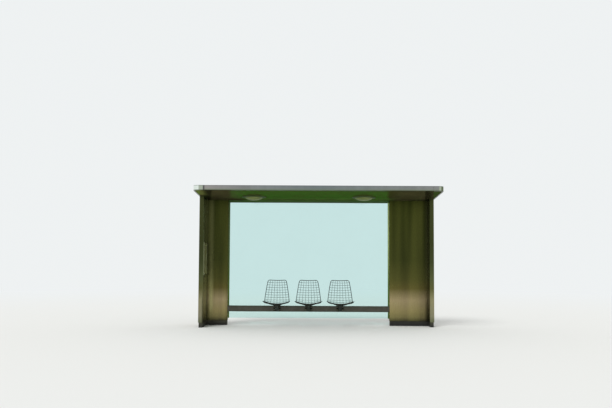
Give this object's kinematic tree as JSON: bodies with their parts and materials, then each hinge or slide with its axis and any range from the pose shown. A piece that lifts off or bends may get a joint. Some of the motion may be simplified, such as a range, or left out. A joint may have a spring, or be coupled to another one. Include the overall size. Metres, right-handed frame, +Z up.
{
  "type": "bus shelter",
  "caption": "Open fronted bus shelter with a cantilever roof, stainless end columns, a glass back wall and wire seats on a beam.",
  "frame": {"origin": "on the ground under the middle of the roof's plan", "axes": "+X to the right along the back wall, +Y to the back towards the glass, +Z up"},
  "size_m": [4.56, 1.705, 2.633],
  "materials": {
    "beam_metal": "satin dark grey coating",
    "brushed_cladding": "brushed stainless sheet with a warm tone",
    "case_back": "plain pale sheet",
    "case_cover": "clear cover",
    "case_metal": "satin snap frame",
    "channel_metal": "satin light channel",
    "dark_plinth": "matt black coated skirt",
    "deck_metal": "matt grey coated roof tray",
    "fascia_metal": "satin light grey coated sheet",
    "frame_steel": "galvanised and coated post",
    "gasket_rubber": "black glazing rubber",
    "glass": "clear with a green tint",
    "lamp_opal": "opal dish",
    "lamp_trim": "satin grey green trim",
    "seat_wire": "dark coated wire",
    "soffit_metal": "glossy dark green lining sheet"
  },
  "bodies": {
    "root": {"bench_beam": "beam_metal", "front_fascia": "fascia_metal", "front_left_fascia_corner": "fascia_metal", "front_right_fascia_corner": "fascia_metal", "glass_pane": "glass", "glazing_gaskets": "gasket_rubber", "glazing_head_rail": "channel_metal", "left_fascia": "fascia_metal", "left_glazing_channel": "channel_metal", "left_lamp_dome": "lamp_opal", "left_lamp_ring": "lamp_trim", "left_plinth": "dark_plinth", "left_post_frame": "frame_steel", "left_rear_panel": "brushed_cladding", "left_wing_cladding": "brushed_cladding", "rain_outlet": "deck_metal", "rear_fascia": "fascia_metal", "rear_left_fascia_corner": "fascia_metal", "rear_right_fascia_corner": "fascia_metal", "right_fascia": "fascia_metal", "right_glazing_channel": "channel_metal", "right_lamp_dome": "lamp_opal", "right_lamp_ring": "lamp_trim", "right_plinth": "dark_plinth", "right_post_frame": "frame_steel", "right_rear_panel": "brushed_cladding", "right_wing_cladding": "brushed_cladding", "roof_deck": "deck_metal", "roof_frame": "frame_steel", "seat_bracket_1": "beam_metal", "seat_bracket_2": "beam_metal", "seat_bracket_3": "beam_metal", "soffit": "soffit_metal", "timetable_back": "case_back", "timetable_cover": "case_cover", "timetable_frame": "case_metal", "wire_seat_1": "seat_wire", "wire_seat_2": "seat_wire", "wire_seat_3": "seat_wire"}
  },
  "joints": []
}
